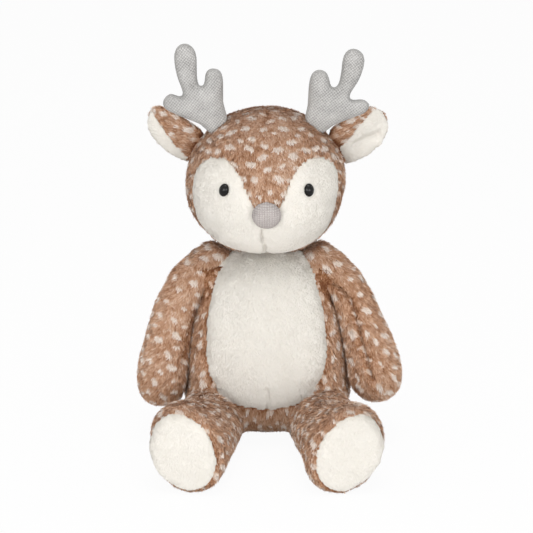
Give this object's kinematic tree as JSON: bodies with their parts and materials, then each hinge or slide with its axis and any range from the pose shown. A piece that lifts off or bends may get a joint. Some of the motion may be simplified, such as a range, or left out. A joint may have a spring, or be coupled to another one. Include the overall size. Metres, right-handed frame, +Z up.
{
  "type": "plush deer",
  "caption": "Sitting stuffed deer with antlers and cupped ears; head nods, arms and legs swing at their seams, ears flop.",
  "frame": {"origin": "middle of the bounding box's underside, on the surface that the toy sits on", "axes": "+Z up; the toy faces -Y with its legs towards -Y; +X is the toy's left"},
  "size_m": [0.2358, 0.2202, 0.3558],
  "materials": {
    "brown_plush": "reddish tan short pile with small pale fawn spots",
    "cream_plush": "smooth dense off-white pile",
    "antler_cloth": "grey woven cloth with a fine diagonal weave",
    "nose_knit": "pinkish grey ribbed knit",
    "eye_plastic": "glossy black moulded eye",
    "washer_plastic": "plain moulded washer, hidden",
    "canvas": "plain undyed cotton, hidden"
  },
  "bodies": {
    "torso": {"torso": "brown_plush", "belly_panel": "cream_plush", "seat_panel": "brown_plush", "pellet_bag": "canvas"},
    "head": {"head": "brown_plush", "cheek_left": "cream_plush", "cheek_right": "cream_plush", "nose": "nose_knit", "eye_left": "eye_plastic", "eye_right": "eye_plastic", "eye_washer_left": "washer_plastic", "eye_washer_right": "washer_plastic", "antler_left": "antler_cloth", "antler_right": "antler_cloth"},
    "ear_left": {"ear_left": "brown_plush", "ear_lining_left": "cream_plush"},
    "arm_left": {"arm_left": "brown_plush"},
    "leg_left": {"leg_left": "brown_plush", "sole_left": "cream_plush"},
    "ear_right": {"ear_right": "brown_plush", "ear_lining_right": "cream_plush"},
    "arm_right": {"arm_right": "brown_plush"},
    "leg_right": {"leg_right": "brown_plush", "sole_right": "cream_plush"}
  },
  "joints": [
    {"name": "neck_nod", "type": "hinge", "parent": "torso", "child": "head", "pos_m": [-0.0026, 0.05236, 0.135], "axis": [1, 0, 0], "range_deg": [-8, 10], "stiffness_Nm_per_rad": 0.6},
    {"name": "shoulder_left", "type": "hinge", "parent": "torso", "child": "arm_left", "pos_m": [0.0514, 0.04936, 0.153], "axis": [-1, 0, 0], "range_deg": [-10, 60], "stiffness_Nm_per_rad": 0.02},
    {"name": "shoulder_right", "type": "hinge", "parent": "torso", "child": "arm_right", "pos_m": [-0.0566, 0.04936, 0.153], "axis": [-1, 0, 0], "range_deg": [-10, 60], "stiffness_Nm_per_rad": 0.02},
    {"name": "hip_left", "type": "hinge", "parent": "torso", "child": "leg_left", "pos_m": [0.0414, 0.01936, 0.031], "axis": [-1, 0, 0], "range_deg": [0, 20]},
    {"name": "hip_right", "type": "hinge", "parent": "torso", "child": "leg_right", "pos_m": [-0.0466, 0.01936, 0.031], "axis": [-1, 0, 0], "range_deg": [0, 20]},
    {"name": "ear_flop_left", "type": "hinge", "parent": "head", "child": "ear_left", "pos_m": [0.0584, 0.06636, 0.259], "axis": [0.3851, 0.3634, -0.8483], "range_deg": [-20, 20], "stiffness_Nm_per_rad": 0.01},
    {"name": "ear_flop_right", "type": "hinge", "parent": "head", "child": "ear_right", "pos_m": [-0.0636, 0.06636, 0.259], "axis": [0.4465, -0.3643, 0.8173], "range_deg": [-20, 20], "stiffness_Nm_per_rad": 0.01}
  ]
}
